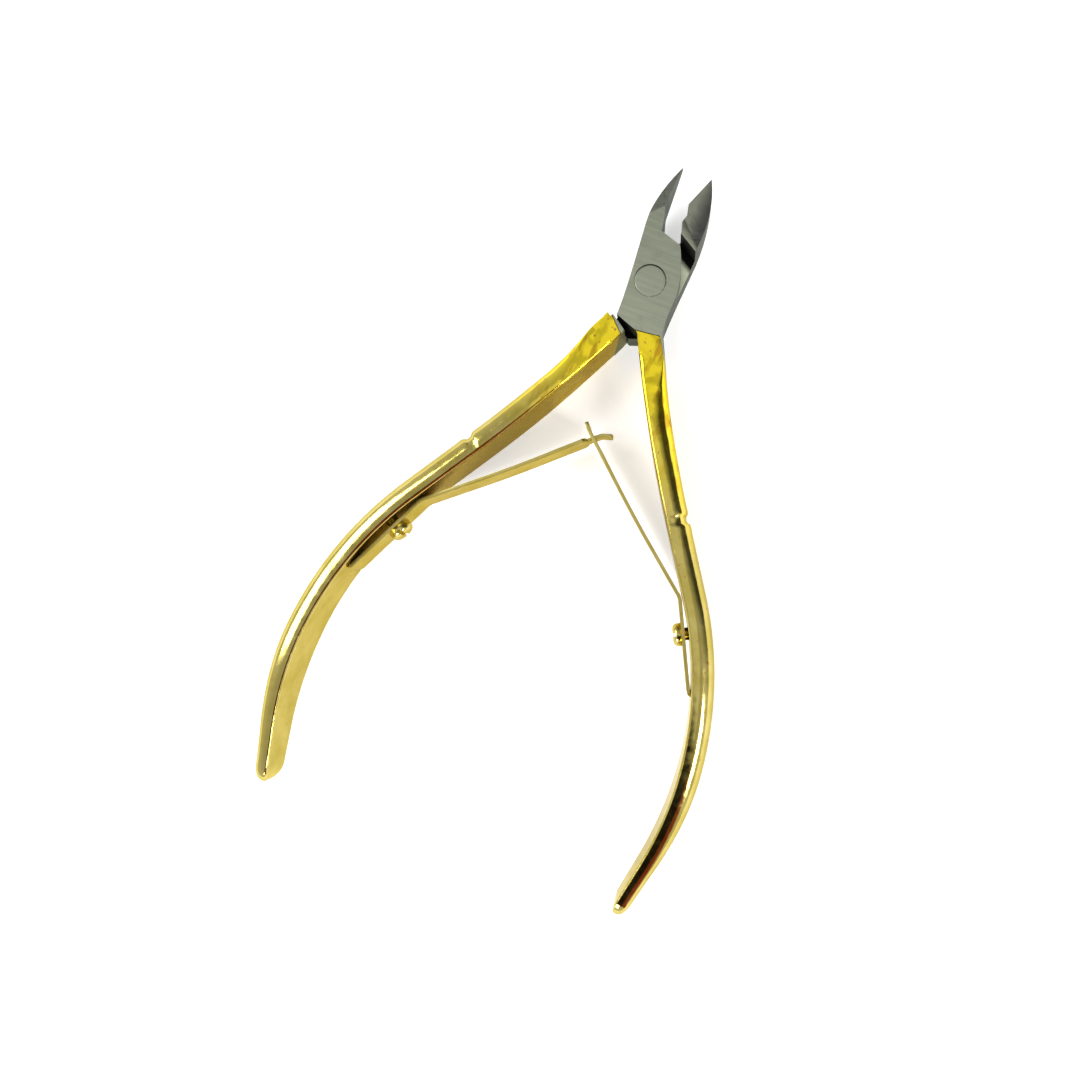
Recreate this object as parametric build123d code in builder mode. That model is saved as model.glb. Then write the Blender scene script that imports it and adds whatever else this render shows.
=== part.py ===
"""Cuticle nipper: two lap-jointed forgings on a flush rivet, opened by two crossed leaf springs.

Millimetres. The origin is on the rivet's axis, at the flat back face of the head. +Z runs
through the rivet to the front, +Y runs to the jaw tips, +X is the right side seen from the front.
Each half is designed closed, with its jaw on the left and its handle on the right and its middle
plane at z = 0. The rear half is then turned over about Y, and both are opened by half the angle.
"""
import os
from math import cos, radians, sin, sqrt, tan

from build123d import *

# --- the whole tool -------------------------------------------------------------------------
opening = 14.0  # angle between the halves at rest, degrees
head_thickness = 6.4
lap_clearance = 0.04  # between the two plates of the lap joint
rivet_offset = 0.6  # the head's centre line stands this far right of the rivet

# --- head plate, measured from the head's centre line ----------------------------------------
plate_half_width = 3.25
plate_top = 7.3  # farthest corner of a plate from the rivet
plate_top_slope = 24.0  # fall of the plate's upper edge away from the throat, degrees
plate_foot = 5.8  # the plate's lower outer corner is this far below the rivet
plate_foot_slope = 27.0  # fall of the plate's lower edge towards the handle, degrees
plate_foot_spread = 4.1  # half width at the lower outer corner
plate_bulge = 0.3  # each side swells this much beyond the half width, beside the rivet
jaw_side_points = [(-1.75, 14.6), (-2.9, 10.2), (-3.3, 5.0), (-3.55, 0)]  # outer side, tip to foot
neck_side_points = [(2.95, -4.9), (3.55, -0.8), (3.25, 2.8)]  # handle side, neck to shoulder
plate_shoulder_share = 0.73  # of the half width, where the upper edge meets the side
foot_end_x = -0.6  # the lower edge is straight this far, then curves into the handle
region_reach = 12.0  # the lap's cut runs this far each way, past every side
shoulder_clearance = 0.35  # between a plate's edge and the other half's shoulder
throat_x = -0.1  # inner corner of the throat

# --- jaws -----------------------------------------------------------------------------------
jaw_reach = 18.3  # rivet to tip
heels = {1: 11.6, -1: 12.5}  # rivet to the inner end of the cutting edge, front and rear half
throat_steps = {1: [(-0.12, 8.8), (-0.32, 10.1)], -1: [(-0.85, 8.2), (-0.15, 9.5), (-0.3, 10.8)]}
edge_lean = 8.5  # the closed cutting line leans this far to the right, degrees
edge_middle = 15.0  # height at which the cutting line crosses the long axis
edge_clearance = 0.03  # left between the closed edges, on each side
tip_half_thickness = 0.45
face_start = 10.7  # the facets that thin the jaw start this far from the rivet
face_turn = 37.0  # the facets fall away towards the tip and this far to the outside, degrees
facet_overrun = 0.15  # share of their run by which those facets go on past the tip
edge_land = 0.15  # half thickness left at the cutting edge
edge_bevels = {1: 62.0, -1: 48.0}  # slope of the bevel behind each cutting edge, degrees
bevel_start = {1: 0.6, -1: 2.9}  # the bevel starts this far below each heel
bevel_run_out = 1.6  # length over which it deepens
bevel_rise = 2.4  # how much shallower it is at its start

# --- handles --------------------------------------------------------------------------------
neck_top = 8.0  # the handle's flat inner face starts this far below the rivet
crotch = (0, -7.8)  # the plate's lower edge curves through here into the neck, own frame
crotch_entry = (0.9, -0.45)
crotch_exit = (0.3, -0.9)
neck_inner = (0.25, -8.6)
neck_under = (0.8, -10.3)
neck_outer = (4.1, -9.1)
neck_heading = 19.0  # degrees away from the long axis
neck_length = 27.0
shank_heading = 26.0
shank_length = 11.5
bow_radius = 51.7
bow_turn = 44.0
tail_length = 8.4
square_to = 3.0  # the neck keeps the head's square section this far down the handle
round_from = 12.0  # from here its back is fully round
full_from = 18.0  # from here it has its full width
taper_from = 64.0  # from here it tapers to its end
neck_flat = 0.92  # share of the depth that the flat sides take at the neck
grip_flat = 0.2  # and in the grip
back_fullness = 0.6  # how far the round back's curves are pulled towards square
back_crown = 0.66
blunt_end = 0.16  # the last section's share of the full one
handle_width = 7.5  # along Z, in the grip
neck_depth = 3.8
handle_depth = 3.5  # from the flat inner face to the round back
end_width = 5.4
end_depth = 2.5
end_round = 2.6  # length of the rounded end
ridge = 0.3  # bevel along the two long ridges
upper_stations = (0, 3, 6, 9, 12, 17, 22)  # sections along the spine, above the groove
lower_stations = (33, 39, 45, 51, 57, 63, 68, 73, 78)  # and below it
end_shares = (0.35, 0.65, 0.85, 0.95, 1.0)  # and along the rounded end
groove_at = 27.2  # distance of the finger groove along the handle
groove_width = 1.3
groove_depth = 0.45

# --- rivet ----------------------------------------------------------------------------------
rivet_radius = 1.7
rivet_head_radius = 2.25
rivet_head_depth = 1.3
rivet_foot_radius = 2.1
rivet_foot_depth = 0.5
running_clearance = 0.04
sweep_clearance = 0.1  # kept all round the other half's plate as it turns
sweep_steps = 4

# --- leaf springs and their screws ------------------------------------------------------------
leaf_thickness = 0.5
leaf_width = 4.4
root_at = 37.2  # distance of the spring's fold along the handle
clamp_length = 15.4  # straight tail that lies against the handle
cross_below = 23.6  # the leaves cross this far below the rivet at rest
slot_overrun = 2.4  # the slotted leaf ends this far past the crossing
tongue_overrun = 2.9
tongue_width = 2.0
slot_clearance = 0.3  # each side of the tongue
slot_length = 2.6
shoulder_back = 0.9  # the tongue's shoulders stop this far before the crossing
lip_depth = 0.8
lip_clearance = 0.05
fold_rise = 0.08  # the fold stands this much off the handle
fold_gap = 0.35  # the leaf starts this far from the fold's axis
fold_clearance = 0.12  # and the clamped tail this far from it, on the other side
screw_at = 6.3  # screw axis, along the tail from the fold
screw_radius = 0.95
screw_depth = 2.8  # from the underside of the leaf to the end of the screw
screw_head_radius = 1.7
screw_head_height = 1.25
screw_head_round = 0.75
screw_slot_width = 0.5
screw_slot_depth = 0.55
screw_clearance = 0.1

half_thickness = head_thickness / 2
half_opening = opening / 2


def edge_x(y, side):
    """The closed cutting line in a half's own frame: side is 1 for the front half, -1 for the rear."""
    return side * (y - edge_middle) * tan(radians(edge_lean))


def plate_corners(side):
    """The plate's four corners in its own frame: foot, end of the foot, shoulder, throat."""
    centre = side * rivet_offset
    foot = (centre - plate_foot_spread, -plate_foot)
    foot_end_y = foot[1] - (foot_end_x - foot[0]) * tan(radians(plate_foot_slope))
    shoulder_x = centre + plate_shoulder_share * plate_half_width
    shoulder_y = plate_top - (shoulder_x - throat_x) * tan(radians(plate_top_slope))
    return foot, (foot_end_x, foot_end_y), (shoulder_x, shoulder_y), (throat_x, plate_top)


def head_outline(side):
    """Plan of one half's plate, jaw and neck, closed, as a face in its own frame."""
    centre = side * rivet_offset
    foot, foot_end, shoulder, throat = plate_corners(side)
    heel = (edge_x(heels[side], side) - edge_clearance, heels[side])
    tip = (edge_x(jaw_reach, side) - edge_clearance, jaw_reach)
    jaw_side = [(centre + x, y) for x, y in jaw_side_points]
    neck_side = [(centre + x, y) for x, y in neck_side_points]
    with BuildSketch() as outline:
        with BuildLine():
            Spline(tip, *jaw_side, foot)
            Line(foot, foot_end)
            Spline(foot_end, crotch, neck_inner, tangents=(crotch_entry, crotch_exit))
            Polyline(neck_inner, neck_under, neck_outer)
            Spline(neck_outer, *neck_side, shoulder)
            Polyline(shoulder, throat, *throat_steps[side], heel, tip)
        make_face()
    return outline.sketch


def lap_region(side):
    """Plan of the room that the other half's plate needs between this half's two shoulders."""
    centre = side * rivet_offset
    reach = region_reach
    rise = tan(radians(plate_top_slope))
    upper = (plate_top + shoulder_clearance) / cos(radians(plate_top_slope))
    fall = tan(radians(plate_foot_slope))
    foot = centre + plate_foot_spread
    lower = -plate_foot - shoulder_clearance / cos(radians(plate_foot_slope))
    with BuildSketch() as region:
        with BuildLine():
            Polyline(
                (-reach, upper - reach * rise),
                (reach, upper + reach * rise),
                (reach, lower - (foot - reach) * fall),
                (-reach, lower - (foot + reach) * fall),
                close=True,
            )
        make_face()
    return region.sketch


def spine_line():
    """The handle's flat inner face in plan: an arc, a straight, a long bow and a straight."""
    neck_turn = shank_heading - neck_heading
    with BuildLine() as spine:
        start = (0.0, -neck_top)
        radius = neck_length / radians(neck_turn)
        JernArc(start, (sin(radians(neck_heading)), -cos(radians(neck_heading))), radius, neck_turn)
        PolarLine(spine.line @ 1, shank_length, direction=spine.line % 1)
        JernArc(spine.line @ 1, spine.line % 1, bow_radius, -bow_turn)
        PolarLine(spine.line @ 1, tail_length, direction=spine.line % 1)
    return spine.wire()


spine = spine_line()
spine_length = spine.length


def spine_plane(distance):
    """Plane across the handle: its X points to the round back, its Y along the nipper's Z."""
    at = distance / spine_length
    along = spine % at
    return Plane(origin=spine @ at, x_dir=(-along.Y, along.X, 0), z_dir=along)


def blend_value(distance, steps):
    """Smooth value at a distance from a list of (distance, value) pairs."""
    for (start, low), (end, high) in zip(steps, steps[1:]):
        if distance <= end:
            part = max(0.0, (distance - start) / (end - start))
            return low + (high - low) * part * part * (3 - 2 * part)
    return steps[-1][1]


def handle_section(distance, inset=0.0):
    """D-shaped section: flat inner face, two bevelled ridges, round back, less an inset all round."""
    width = blend_value(
        distance,
        [(square_to, head_thickness), (full_from, handle_width), (taper_from, handle_width),
         (spine_length, end_width)],
    )
    depth = blend_value(
        distance,
        [(0, neck_depth), (round_from, handle_depth), (taper_from, handle_depth),
         (spine_length, end_depth)],
    )
    facet = blend_value(distance, [(square_to, neck_flat), (round_from, grip_flat)]) * depth
    past = max(0.0, distance - (spine_length - end_round)) / end_round
    shrink = sqrt(max(0.0, 1 - past * past)) if past < 1 else 0.0
    shrink = max(shrink, blunt_end)
    shift = depth * (1 - shrink) / 2
    half, depth = width * shrink / 2 - inset, depth * shrink - inset
    facet, bevel = facet * shrink, ridge * shrink
    with BuildSketch() as section:
        with BuildLine():
            Polyline(
                (shift + facet, -half),
                (shift + bevel, -half),
                (shift, bevel - half),
                (shift, half - bevel),
                (shift + bevel, half),
                (shift + facet, half),
            )
            Bezier(
                (shift + facet, half),
                (shift + facet + back_fullness * (depth - facet), half),
                (shift + depth, back_crown * half),
                (shift + depth, 0),
            )
            Bezier(
                (shift + depth, 0),
                (shift + depth, -back_crown * half),
                (shift + facet + back_fullness * (depth - facet), -half),
                (shift + facet, -half),
            )
        make_face()
    return section.sketch


def plate_sweep(side):
    """Plan of the room that the other half's plate passes through, from closed to open."""
    centre = side * rivet_offset
    bulge = plate_half_width + plate_bulge
    foot, foot_end, shoulder, throat = [(-x, y) for x, y in plate_corners(-side)]
    with BuildSketch() as plate:
        with BuildLine():
            Polyline(foot, foot_end, (centre - bulge, foot[1]), (centre - bulge, 0),
                     shoulder, throat, (centre + bulge, 0), close=True)
        make_face()
    with BuildSketch() as sweep:
        for step in range(sweep_steps + 1):
            add(plate.sketch.rotate(Axis.Z, -opening * step / sweep_steps))
        offset(amount=sweep_clearance)
    return sweep.sketch


def jaw_facet(side, face):
    """Wedge off the front (face 1) or back (face -1) of the jaw, thinning it to the tip."""
    fall = Vector(-sin(radians(face_turn)), cos(radians(face_turn)), 0)
    start = Vector(edge_x(face_start, side), face_start, 0)
    run = (Vector(edge_x(jaw_reach, side), jaw_reach, 0) - start).dot(fall)
    drop = half_thickness - tip_half_thickness
    past = 1 + facet_overrun
    with BuildPart() as wedge:
        with BuildSketch(Plane(origin=start, x_dir=fall, z_dir=(fall.Y, -fall.X, 0))):
            with BuildLine():
                Polyline(
                    (0, face * half_thickness),
                    (run, face * tip_half_thickness),
                    (past * run, face * (tip_half_thickness - facet_overrun * drop)),
                    (past * run, face * head_thickness),
                    (0, face * head_thickness),
                    close=True,
                )
            make_face()
        extrude(amount=2 * plate_half_width, both=True)
    return wedge.part


def bevel_section(side, face, along_edge, lift):
    """Section of the bevel's cut at a distance along the closed cutting line, lifted off the land."""
    lean = radians(edge_lean)
    along = Vector(side * sin(lean), cos(lean), 0)
    start = Vector(edge_x(along_edge, side), along_edge, 0)
    reach = 2 * plate_half_width
    low = edge_land + lift
    high = low + reach * tan(radians(edge_bevels[side]))
    with BuildSketch(Plane(origin=start, x_dir=(-along.Y, along.X, 0), z_dir=along)) as section:
        with BuildLine():
            Polyline((-1, face * low), (0, face * low), (reach, face * high), (-1, face * high), close=True)
        make_face()
    return section


def edge_bevel_cut(side, face):
    """Wedge behind the cutting edge, from its land at mid thickness out to the jaw's face."""
    start = heels[side] - bevel_start[side]
    with BuildPart() as wedge:
        add(bevel_section(side, face, start, bevel_rise))
        add(bevel_section(side, face, start + bevel_run_out, 0))
        loft(ruled=True)
        add(bevel_section(side, face, start + bevel_run_out, 0))
        extrude(amount=jaw_reach)
    return wedge.part


def spring_plane():
    """Plane of the clamped tail: origin at the fold, X down the handle, Z off its flat face."""
    fold = spine @ (root_at / spine_length)
    end = spine @ ((root_at + clamp_length) / spine_length)
    along = (end - fold).normalized()
    return Plane(origin=fold, x_dir=along, z_dir=(along.Y, -along.X, 0))


tail_plane = spring_plane()
fold_axis = tail_plane.from_local_coords(Vector(0, 0, leaf_thickness / 2 + fold_rise))
crossing = Vector(-cross_below * sin(radians(half_opening)), -cross_below * cos(radians(half_opening)), 0)
leaf_reach = (crossing - fold_axis).length
leaf_along = (crossing - fold_axis).normalized()
leaf_plane = Plane(origin=fold_axis, x_dir=leaf_along, z_dir=(leaf_along.Y, -leaf_along.X, 0))
lip_at = clamp_length - leaf_thickness


def handle_length(stations):
    """One length of the handle, drawn through its sections at these distances along the spine."""
    with BuildPart() as length:
        for station in stations:
            with BuildSketch(spine_plane(station)):
                add(handle_section(station))
        loft()
    return length.part


def handle_loft():
    """The whole handle, in two lengths that meet at the groove."""
    end = spine_length - end_round
    past_end = [end + end_round * share for share in end_shares]
    with BuildPart() as handle:
        add(handle_length([*upper_stations, groove_at]))
        add(handle_length([groove_at, *lower_stations, end, *past_end]))
    return handle.part


def finger_groove():
    """Ring cut round the handle's front, back and outer side."""
    with BuildPart() as ring:
        with BuildSketch(spine_plane(groove_at)):
            with Locations((ridge + groove_depth, 0)):
                Rectangle(2 * handle_depth, 2 * handle_width, align=(Align.MIN, Align.CENTER))
            add(handle_section(groove_at, inset=groove_depth), mode=Mode.SUBTRACT)
        extrude(amount=groove_width / 2, both=True)
    return ring.part


def forging(side):
    """One half: plate, jaw, neck and handle in one piece, in its own closed frame."""
    with BuildPart() as half:
        with BuildSketch(Plane.XY.offset(-half_thickness)):
            add(head_outline(side))
        extrude(amount=head_thickness)
        add(handle_loft())
        add(finger_groove(), mode=Mode.SUBTRACT)
        with BuildSketch(Plane.XY.offset(-head_thickness)):
            add(lap_region(side))
            add(plate_sweep(side))
        extrude(amount=head_thickness + lap_clearance / 2, mode=Mode.SUBTRACT)
        for face in (1, -1):
            add(jaw_facet(side, face), mode=Mode.SUBTRACT)
            add(edge_bevel_cut(side, face), mode=Mode.SUBTRACT)
        bore = rivet_radius + (running_clearance if side > 0 else 0)
        mouth = rivet_head_radius + running_clearance if side > 0 else rivet_foot_radius
        mouth_depth = rivet_head_depth + running_clearance if side > 0 else rivet_foot_depth
        with Locations((0, 0, half_thickness)):
            CounterBoreHole(bore, mouth, mouth_depth, depth=half_thickness)
        with BuildSketch(tail_plane):
            with Locations((screw_at, 0)):
                Circle(screw_radius)
        extrude(amount=-screw_depth, mode=Mode.SUBTRACT)
        with BuildSketch(tail_plane):
            with Locations((lip_at - lip_clearance, 0)):
                Rectangle(
                    leaf_thickness + 2 * lip_clearance,
                    leaf_width + 2 * lip_clearance,
                    align=(Align.MIN, Align.CENTER),
                )
        extrude(amount=-lip_depth - lip_clearance, mode=Mode.SUBTRACT)
    return half.part


def spring_tail():
    """Clamped stretch of a leaf spring: a straight strip with a screw hole and a turned-in lip."""
    with BuildPart() as tail:
        with BuildSketch(tail_plane):
            with Locations((fold_clearance, 0)):
                Rectangle(clamp_length - fold_clearance, leaf_width, align=(Align.MIN, Align.CENTER))
            with Locations((screw_at, 0)):
                Circle(screw_radius + screw_clearance, mode=Mode.SUBTRACT)
        extrude(amount=leaf_thickness)
        with BuildSketch(tail_plane):
            with Locations((lip_at, 0)):
                Rectangle(leaf_thickness, leaf_width, align=(Align.MIN, Align.CENTER))
        extrude(amount=-lip_depth)
    return tail.part


def spring_leaf(slotted):
    """Flexing stretch of a leaf spring, ending in a slotted eye or in a narrow tongue."""
    with BuildPart() as leaf:
        with BuildSketch(leaf_plane):
            broad = leaf_reach + slot_overrun if slotted else leaf_reach - shoulder_back
            with Locations((fold_gap, 0)):
                Rectangle(broad - fold_gap, leaf_width, align=(Align.MIN, Align.CENTER))
            if slotted:
                with Locations((leaf_reach, 0)):
                    Rectangle(slot_length, tongue_width + 2 * slot_clearance, mode=Mode.SUBTRACT)
            else:
                with Locations((fold_gap, 0)):
                    Rectangle(
                        leaf_reach + tongue_overrun - fold_gap,
                        tongue_width,
                        align=(Align.MIN, Align.CENTER),
                    )
        extrude(amount=leaf_thickness / 2, both=True)
    return leaf.part


def spring_screw():
    """Domed screw with a driver slot, its shank in the handle."""
    seat = tail_plane.offset(leaf_thickness)
    with BuildPart() as screw:
        with BuildSketch(seat):
            with Locations((screw_at, 0)):
                Circle(screw_radius)
        extrude(amount=-leaf_thickness - screw_depth)
        with BuildSketch(seat):
            with Locations((screw_at, 0)):
                Circle(screw_head_radius)
        extrude(amount=screw_head_height)
        rim = screw.faces().sort_by(Axis(seat.origin, seat.z_dir))[-1].edges()
        fillet(rim, screw_head_round)
        with BuildSketch(seat.offset(screw_head_height)):
            with Locations((screw_at, 0)):
                Rectangle(screw_slot_width, 2 * screw_head_radius)
        extrude(amount=-screw_slot_depth, mode=Mode.SUBTRACT)
    return screw.part


def place(part, side):
    """Turn a rear piece over, open it by half the angle and set it on the back-face frame."""
    turned = part if side > 0 else part.rotate(Axis.Y, 180)
    return turned.rotate(Axis.Z, side * half_opening).translate((0, 0, half_thickness))


os.makedirs("parts", exist_ok=True)

with BuildPart() as front_half:
    add(place(forging(1), 1))
front_half.part.label = "front_half"
export_step(front_half.part, "parts/front_half.step")

with BuildPart() as rear_half:
    add(place(forging(-1), -1))
rear_half.part.label = "rear_half"
export_step(rear_half.part, "parts/rear_half.step")

with BuildPart() as pivot_rivet:
    Cylinder(rivet_radius, head_thickness, align=(Align.CENTER, Align.CENTER, Align.MIN))
    Cylinder(rivet_foot_radius, rivet_foot_depth, align=(Align.CENTER, Align.CENTER, Align.MIN))
    with Locations((0, 0, head_thickness - rivet_head_depth)):
        Cylinder(rivet_head_radius, rivet_head_depth, align=(Align.CENTER, Align.CENTER, Align.MIN))
pivot_rivet.part.label = "pivot_rivet"
export_step(pivot_rivet.part, "parts/pivot_rivet.step")

for hand, side in (("right", 1), ("left", -1)):
    with BuildPart() as tail:
        add(place(spring_tail(), side))
    tail.part.label = f"{hand}_spring_tail"
    export_step(tail.part, f"parts/{hand}_spring_tail.step")

    with BuildPart() as leaf:
        add(place(spring_leaf(slotted=side > 0), side))
    leaf.part.label = f"{hand}_spring_leaf"
    export_step(leaf.part, f"parts/{hand}_spring_leaf.step")

    with BuildPart() as screw:
        add(place(spring_screw(), side))
    screw.part.label = f"{hand}_spring_screw"
    export_step(screw.part, f"parts/{hand}_spring_screw.step")
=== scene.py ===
from math import cos, pi, radians, sin

import bmesh
import bpy
import numpy as np
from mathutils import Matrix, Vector


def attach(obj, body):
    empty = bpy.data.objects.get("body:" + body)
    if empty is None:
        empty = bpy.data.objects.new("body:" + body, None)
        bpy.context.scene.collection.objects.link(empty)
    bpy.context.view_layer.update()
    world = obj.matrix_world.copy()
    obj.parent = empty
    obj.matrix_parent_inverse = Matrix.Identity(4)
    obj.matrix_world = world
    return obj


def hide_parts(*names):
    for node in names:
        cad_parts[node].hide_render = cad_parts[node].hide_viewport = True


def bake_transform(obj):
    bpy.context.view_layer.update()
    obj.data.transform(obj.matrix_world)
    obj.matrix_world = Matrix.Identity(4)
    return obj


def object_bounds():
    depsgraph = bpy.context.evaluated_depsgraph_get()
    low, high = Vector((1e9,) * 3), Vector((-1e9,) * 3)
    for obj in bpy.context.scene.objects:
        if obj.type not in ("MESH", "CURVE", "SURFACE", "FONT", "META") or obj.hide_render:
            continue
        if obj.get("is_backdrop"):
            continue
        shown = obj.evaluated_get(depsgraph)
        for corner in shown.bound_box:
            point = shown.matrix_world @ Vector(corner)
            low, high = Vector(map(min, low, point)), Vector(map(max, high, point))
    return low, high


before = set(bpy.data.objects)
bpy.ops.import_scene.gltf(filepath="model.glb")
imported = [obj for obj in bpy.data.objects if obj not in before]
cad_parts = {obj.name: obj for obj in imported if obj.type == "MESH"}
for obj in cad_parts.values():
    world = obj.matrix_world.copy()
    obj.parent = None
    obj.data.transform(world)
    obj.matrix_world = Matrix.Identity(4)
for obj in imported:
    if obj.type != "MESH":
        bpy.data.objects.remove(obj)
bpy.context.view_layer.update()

MM = 0.001

# Sizes in millimetres, in a closed half's own frame: rivet at the origin, Y to the jaw tip, Z to its front.
# Side 1 is the front half and side -1 the rear one. The half opening is in degrees, as the headings are.
HALF_OPENING = 7.0
HALF_THICKNESS = 3.2
THICKNESS = 2 * HALF_THICKNESS
NECK_TOP = 8.0
NECK_HEADING = 19.0
NECK_LENGTH = 27.0
SHANK_HEADING = 26.0
SHANK_LENGTH = 11.5
BOW_RADIUS = 51.7
BOW_TURN = 44.0
BOW_LENGTH = BOW_RADIUS * radians(BOW_TURN)
TAIL_LENGTH = 8.4
SPINE_LENGTH = NECK_LENGTH + SHANK_LENGTH + BOW_LENGTH + TAIL_LENGTH

# Handle: its sizes are pairs of a distance down the spine and the value there.
HANDLE_JOIN = 3.0  # the head piece ends and the handle piece starts this far down the handle
HANDLE_WIDTHS = ((3, THICKNESS), (18, 7.5), (64, 7.5), (SPINE_LENGTH, 5.4))
HANDLE_DEPTHS = ((0, 3.8), (12, 3.5), (64, 3.5), (SPINE_LENGTH, 2.5))
FLAT_SIDE_SHARES = ((3, 0.92), (12, 0.2))
END_ROUND = 2.6
RIDGE = 0.3
GROOVE_AT = 27.2
GROOVE_HALF_WIDTH = 0.65
GROOVE_DEPTH = 0.43
GROOVE_SWELL = 0.03

# Leaf springs, clamped on the handles' inner faces and crossing between them.
ROOT_AT = 37.2
CLAMP_LENGTH = 15.4
LEAF_THICKNESS = 0.5
LEAF_WIDTH = 4.4
CROSS_BELOW = 23.6
FOLD_RISE = 0.08
LIP_DROP = 0.75
LIP_NARROWING = 0.25
LEAF_SAG = 0.45
WINDOW_HALF = 1.3
TONGUE_HALF_WIDTH = 1.0
SHOULDER = 0.9
SHEET_RIM = 0.09

RIVET_HEAD = 2.25
RIVET_SHANK = 1.7
RIVET_FOOT = 2.1
RIVET_HEAD_DEPTH = 1.3
RIVET_FOOT_DEPTH = 0.5

# Merging a copy of a CAD node, in metres.
DOUBLED = 2e-6
SLIVER = 8e-6
OFF_LEVEL = 5e-6


# ---------------------------------------------------------------- meshes

def put_in_mesh(name, points, faces, smooth=True):
    """New object from points in metres and a list of faces, at the origin."""
    mesh = bpy.data.meshes.new(name)
    mesh.from_pydata(np.asarray(points, float).reshape(-1, 3).tolist(), [], faces)
    mesh.polygons.foreach_set("use_smooth", np.full(len(mesh.polygons), smooth))
    mesh.update()
    obj = bpy.data.objects.new(name, mesh)
    bpy.context.scene.collection.objects.link(obj)
    return obj


def grid_faces(rows, columns, closed):
    """Quads of a grid of rows by columns, its columns joined round when closed."""
    across = columns if closed else columns - 1
    r, c = np.meshgrid(np.arange(rows - 1), np.arange(across), indexing="ij")
    n = (c + 1) % columns
    quads = np.stack([r * columns + c, r * columns + n, (r + 1) * columns + n, (r + 1) * columns + c], -1)
    return quads.reshape(-1, 4).tolist()


def sit(points, side):
    """Place of points of a half's own frame at rest: the rear one (-1) is turned over about Y, then each is
    opened by half the angle about the rivet and lifted by half the thickness."""
    p = np.array(points, float)
    if side < 0:
        p = p * np.array([-1.0, 1.0, -1.0])
    a = radians(side * HALF_OPENING)
    x = p[..., 0] * cos(a) - p[..., 1] * sin(a)
    y = p[..., 0] * sin(a) + p[..., 1] * cos(a)
    return np.stack([x, y, p[..., 2] + HALF_THICKNESS], -1) * MM


def eased(distance, steps):
    """Value at each distance, easing in and out (3t^2 - 2t^3) between the (distance, value) steps."""
    d = np.asarray(distance, float)
    value = np.full(d.shape, float(steps[0][1]))
    for (start, low), (end, high) in zip(steps, steps[1:]):
        t = np.clip((d - start) / (end - start), 0, 1)
        value = value + (high - low) * t * t * (3 - 2 * t)
    return value


def spine(distance):
    """Places and headings along the handle's flat inner face: the heading turns evenly along each arc and
    stays along each straight, and the place is the running sum of its sine and cosine."""
    knots = np.cumsum([0, NECK_LENGTH, SHANK_LENGTH, BOW_LENGTH, TAIL_LENGTH])
    turns = [NECK_HEADING, SHANK_HEADING, SHANK_HEADING, SHANK_HEADING - BOW_TURN, SHANK_HEADING - BOW_TURN]
    fine = np.linspace(0, SPINE_LENGTH, 20001)
    heading = np.radians(np.interp(fine, knots, turns))
    step = fine[1] - fine[0]
    mid = (heading[1:] + heading[:-1]) / 2
    x = np.concatenate([[0], np.cumsum(np.sin(mid) * step)])
    y = -NECK_TOP - np.concatenate([[0], np.cumsum(np.cos(mid) * step)])
    d = np.asarray(distance, float)
    return np.interp(d, fine, x), np.interp(d, fine, y), np.interp(d, fine, heading)


def handle_stations():
    """Distances down the handle that get a ring: even ones, closer ones in the finger groove, and sine steps
    on the rounded end, which close up towards its tip."""
    end_start = SPINE_LENGTH - END_ROUND
    even = np.linspace(HANDLE_JOIN, end_start, 230)
    groove = GROOVE_AT + np.linspace(-2.2, 2.2, 61)
    end = end_start + END_ROUND * np.sin(np.linspace(0, pi / 2, 22))
    return np.unique(np.concatenate([even, groove, end[1:]]))


def col(values):
    """One value per ring, as a column that spreads over the ring's points."""
    return values[:, None]


def handle_rings(d):
    """D section at each distance: u from the flat inner face to the round back, v along the nipper's Z. A
    ring crosses the face, rolls over a small ridge, climbs a flat side and half of the back, which is a cubic
    curve with its end level, and comes down the other side. The rounded end shrinks it by the root of
    1 - t^2."""
    depth = eased(d, HANDLE_DEPTHS)
    facet = eased(d, FLAT_SIDE_SHARES) * depth
    past = np.clip((d - (SPINE_LENGTH - END_ROUND)) / END_ROUND, 0, 1)
    shrink = np.sqrt(np.maximum(0, 1 - past * past))
    shift = depth * (1 - shrink) / 2
    half = eased(d, HANDLE_WIDTHS) / 2 * shrink
    depth, facet, ridge = depth * shrink, facet * shrink, RIDGE * shrink

    face = np.array([-1.0, -0.97, -0.8, -0.4, 0.0, 0.4, 0.8, 0.97, 1.0])
    roll = np.array([0.3, 0.6, 1.0])
    flat = np.array([0.12, 0.4, 0.75, 1.0])
    t = np.linspace(0, 1, 17)[1:]
    u_face = col(shift) + 0 * face
    v_face = (col(half) - col(ridge)) * face
    u_ridge = col(shift) + col(ridge) * roll ** 1.15
    v_ridge = col(half) - col(ridge) * (1 - roll) ** 1.15
    u_flat = col(shift) + col(ridge) + (col(facet) - col(ridge)) * flat
    v_flat = col(half) + 0 * flat
    back_start, back_end = col(shift + facet), col(shift + depth)
    back_lift = col(shift + facet + 0.6 * (depth - facet))
    u_back = ((1 - t) ** 3 * back_start + 3 * (1 - t) ** 2 * t * back_lift
              + 3 * (1 - t) * t * t * back_end + t ** 3 * back_end)
    v_back = ((1 - t) ** 3 + 3 * (1 - t) ** 2 * t + 3 * (1 - t) * t * t * 0.66) * col(half)
    u_up = np.concatenate([u_ridge, u_flat, u_back], 1)
    v_up = np.concatenate([v_ridge, v_flat, v_back], 1)
    u = np.concatenate([u_face, u_up, u_up[:, -2::-1]], 1)
    v = np.concatenate([v_face, v_up, -v_up[:, -2::-1]], 1)
    return u, v, shift, depth, half


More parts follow.
